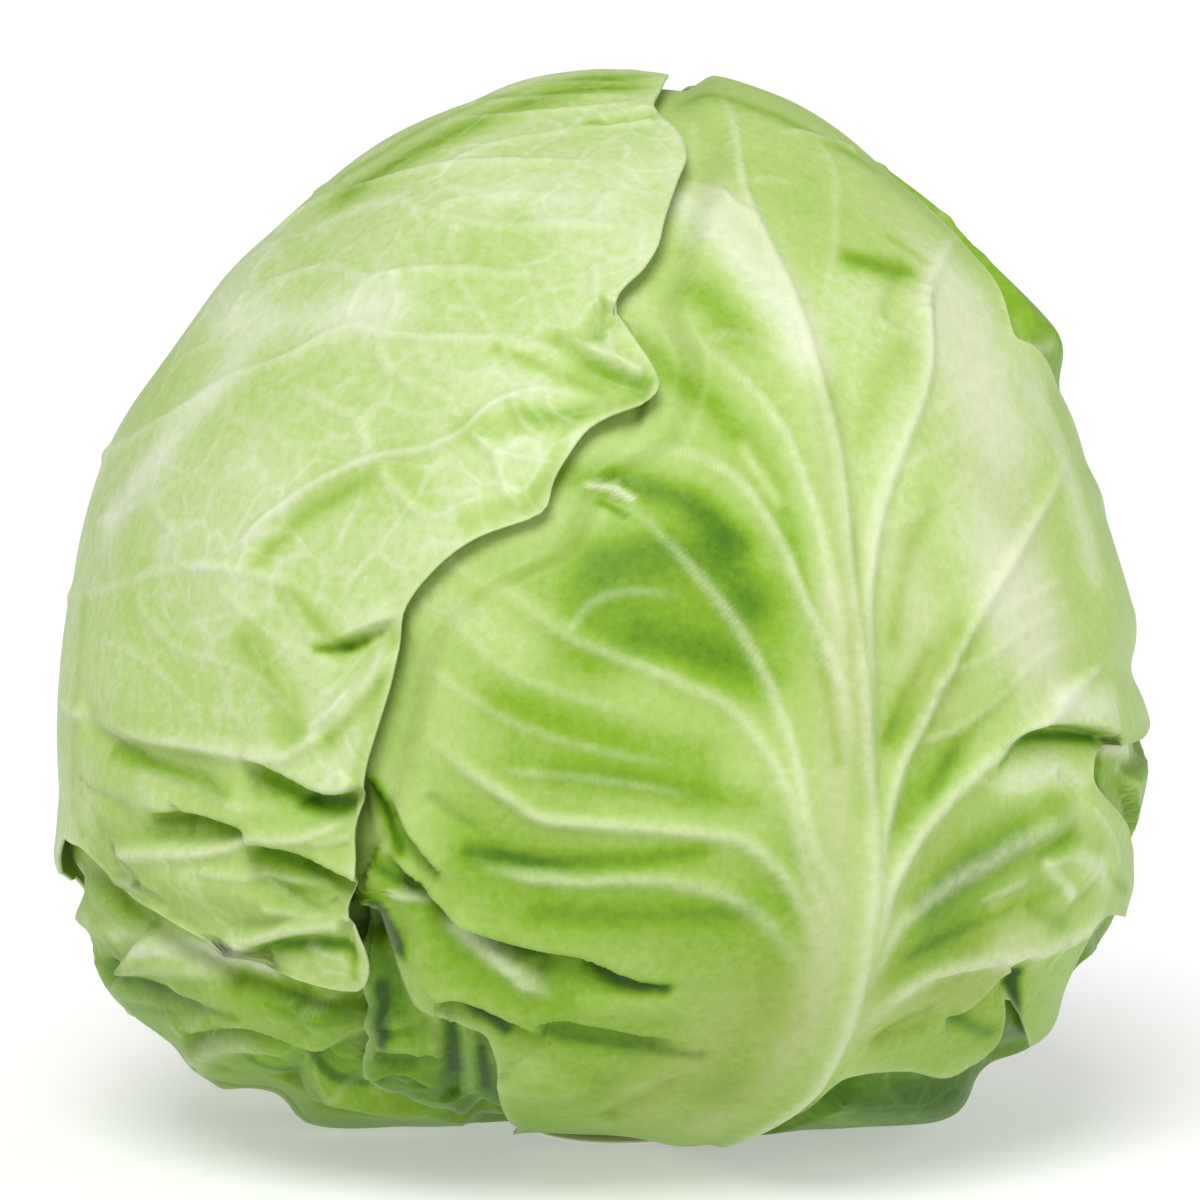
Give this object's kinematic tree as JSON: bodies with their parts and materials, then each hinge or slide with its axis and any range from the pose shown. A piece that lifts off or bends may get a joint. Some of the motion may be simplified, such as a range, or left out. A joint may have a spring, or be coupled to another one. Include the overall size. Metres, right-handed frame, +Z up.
{
  "type": "cabbage head",
  "caption": "Whole round green cabbage head with broad ribbed leaves wrapped over a tight heart and a short cut stalk, resting on its flat base",
  "frame": {"origin": "middle of the head's footprint, on the floor under its base", "axes": "+Z up from the cut stalk to the crown, -Y towards the front where the broad ribbed front leaf shows, +X to its right"},
  "size_m": [0.1803, 0.1784, 0.1751],
  "materials": {
    "leaf_light": "satin",
    "leaf_green": "satin",
    "leaf_fresh": "satin",
    "leaf_deep": "satin",
    "heart": "satin",
    "stalk": "matte"
  },
  "bodies": {
    "root": {"left_leaf": "leaf_light", "front_leaf": "leaf_green", "tucked_leaf": "leaf_fresh", "lower_left_leaf": "leaf_fresh", "right_leaf": "leaf_deep", "heart": "heart", "stalk": "stalk"}
  },
  "joints": []
}
